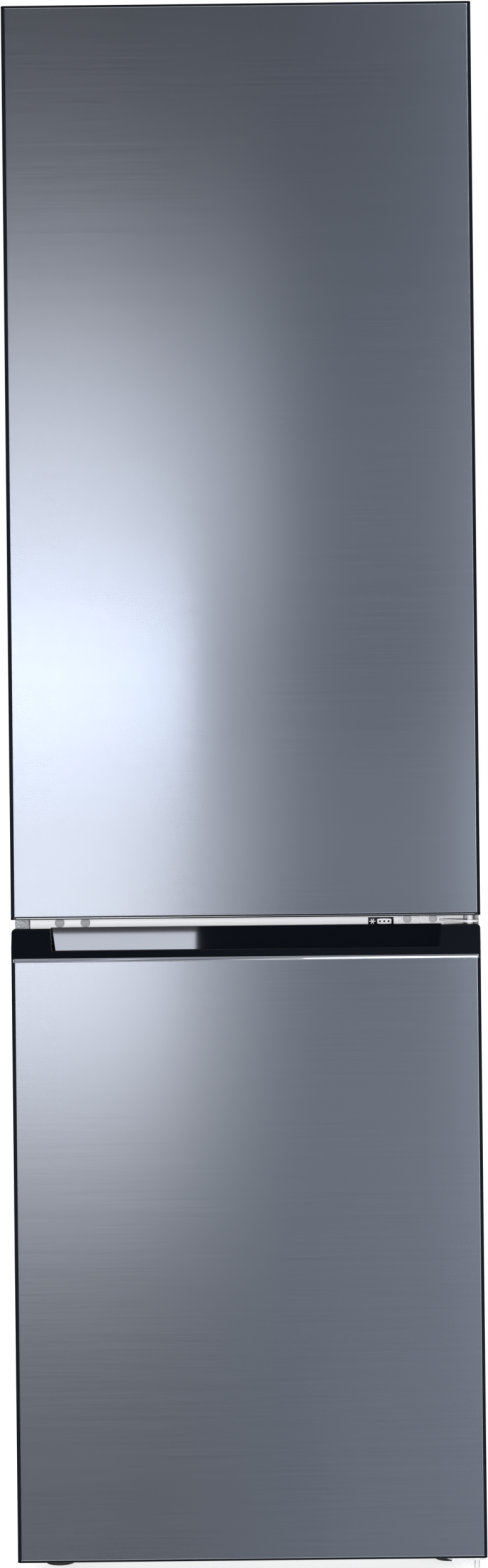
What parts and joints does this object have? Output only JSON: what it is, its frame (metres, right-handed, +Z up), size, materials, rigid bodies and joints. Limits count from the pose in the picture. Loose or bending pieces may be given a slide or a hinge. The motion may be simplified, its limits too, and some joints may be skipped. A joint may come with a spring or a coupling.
{
  "type": "fridge freezer",
  "caption": "Tall fridge freezer with a brushed steel door above a smaller one, a recessed black grip between them, glass shelves, drawers and a rear compressor.",
  "frame": {"origin": "middle of the footprint, on the floor under the feet", "axes": "+Z up, -Y out of the doors' front, +X towards the hinge side"},
  "size_m": [0.595, 0.63, 2],
  "materials": {
    "cabinet_paint": "satin",
    "steel_skin": "satin",
    "bright_zinc": "satin",
    "trim_steel": "polished",
    "base_steel": "matte",
    "foam": "matte",
    "liner_white": "gloss",
    "rail_white": "gloss",
    "plug_grey": "matte",
    "cap_black": "gloss",
    "cover_grey": "matte",
    "black_plastic": "matte",
    "compressor_black": "satin",
    "grommet_rubber": "matte",
    "pan_grey": "matte",
    "copper": "satin",
    "shelf_glass": "gloss",
    "clear_plastic": "gloss",
    "lamp": "gloss",
    "button_grey": "satin",
    "gasket_grey": "matte",
    "aluminium": "satin",
    "pin_steel": "polished",
    "fan_white": "matte"
  },
  "bodies": {
    "cabinet": {"cabinet_shell": "cabinet_paint", "rear_panel": "base_steel", "base_plate": "base_steel", "cabinet_insulation": "foam", "fridge_liner": "liner_white", "freezer_liner": "liner_white", "mullion_rail": "rail_white", "hinge_hole_caps": "plug_grey", "top_hinge": "bright_zinc", "top_hinge_cover": "cover_grey", "middle_hinge": "bright_zinc", "bottom_hinge": "bright_zinc", "hinge_screws": "bright_zinc", "foot_brackets": "black_plastic", "compressor_tray": "bright_zinc", "roller_axles": "pin_steel", "compressor": "compressor_black", "compressor_grommets": "grommet_rubber", "relay_box": "black_plastic", "drain_pan": "pan_grey", "refrigerant_pipes": "copper", "rear_spacers": "black_plastic", "power_inlet": "black_plastic", "glass_shelves": "shelf_glass", "shelf_trims": "liner_white", "air_duct_cover": "liner_white", "control_panel": "liner_white", "lamp_lens": "lamp", "evaporator_cover": "liner_white", "evaporator": "aluminium", "fan_shroud": "fan_white", "fan_motor": "black_plastic"},
    "fridge_door": {"fridge_door_skin": "steel_skin", "fridge_door_insulation": "foam", "fridge_door_liner": "liner_white", "fridge_door_gasket": "gasket_grey", "fridge_door_top_cap": "cap_black", "fridge_door_bottom_cap": "cap_black", "fridge_door_bushes": "black_plastic", "door_bins": "clear_plastic"},
    "freezer_door": {"freezer_door_skin": "steel_skin", "freezer_door_insulation": "foam", "freezer_door_liner": "liner_white", "freezer_door_gasket": "gasket_grey", "freezer_door_grip_cap": "cap_black", "freezer_door_trim": "trim_steel", "freezer_door_base_cap": "cap_black", "freezer_door_bushes": "black_plastic"},
    "crisper_left": {"crisper_left": "clear_plastic"},
    "crisper_right": {"crisper_right": "clear_plastic"},
    "drawer_lower": {"freezer_drawer_lower": "clear_plastic"},
    "drawer_middle": {"freezer_drawer_middle": "clear_plastic"},
    "drawer_upper": {"freezer_drawer_upper": "clear_plastic"},
    "foot_left": {"front_foot_left": "black_plastic"},
    "foot_right": {"front_foot_right": "black_plastic"},
    "roller_left": {"rear_roller_left": "black_plastic"},
    "roller_right": {"rear_roller_right": "black_plastic"},
    "fan": {"fan_rotor": "fan_white"},
    "button_left": {"button_left": "button_grey"},
    "button_right": {"button_right": "button_grey"}
  },
  "joints": [
    {"name": "fridge_door_hinge", "type": "hinge", "parent": "cabinet", "child": "fridge_door", "pos_m": [0.285, -0.287, 1], "axis": [0, 0, 1], "range_deg": [0, 120]},
    {"name": "freezer_door_hinge", "type": "hinge", "parent": "cabinet", "child": "freezer_door", "pos_m": [0.285, -0.287, 1], "axis": [0, 0, 1], "range_deg": [0, 120]},
    {"name": "crisper_left_slide", "type": "slide", "parent": "cabinet", "child": "crisper_left", "axis": [0, -1, 0], "range_m": [0, 0.09]},
    {"name": "crisper_right_slide", "type": "slide", "parent": "cabinet", "child": "crisper_right", "axis": [0, -1, 0], "range_m": [0, 0.09]},
    {"name": "drawer_lower_slide", "type": "slide", "parent": "cabinet", "child": "drawer_lower", "axis": [0, -1, 0], "range_m": [0, 0.015]},
    {"name": "drawer_middle_slide", "type": "slide", "parent": "cabinet", "child": "drawer_middle", "axis": [0, -1, 0], "range_m": [0, 0.015]},
    {"name": "drawer_upper_slide", "type": "slide", "parent": "cabinet", "child": "drawer_upper", "axis": [0, -1, 0], "range_m": [0, 0.015]},
    {"name": "foot_left_turn", "type": "hinge", "parent": "cabinet", "child": "foot_left", "pos_m": [-0.252, -0.199, 0.01], "axis": [0, 0, 1], "continuous": true},
    {"name": "foot_right_turn", "type": "hinge", "parent": "cabinet", "child": "foot_right", "pos_m": [0.252, -0.199, 0.01], "axis": [0, 0, 1], "continuous": true},
    {"name": "roller_left_spin", "type": "hinge", "parent": "cabinet", "child": "roller_left", "pos_m": [-0.2555, 0.251, 0.015], "axis": [1, 0, 0], "continuous": true},
    {"name": "roller_right_spin", "type": "hinge", "parent": "cabinet", "child": "roller_right", "pos_m": [0.2555, 0.251, 0.015], "axis": [1, 0, 0], "continuous": true},
    {"name": "fan_spin", "type": "hinge", "parent": "cabinet", "child": "fan", "pos_m": [0, 0.18, 0.695], "axis": [0, 1, 0], "continuous": true},
    {"name": "button_left_press", "type": "slide", "parent": "cabinet", "child": "button_left", "axis": [0, 0, 1], "range_m": [0, 0.0012], "stiffness_N_per_m": 1500},
    {"name": "button_right_press", "type": "slide", "parent": "cabinet", "child": "button_right", "axis": [0, 0, 1], "range_m": [0, 0.0012], "stiffness_N_per_m": 1500}
  ]
}
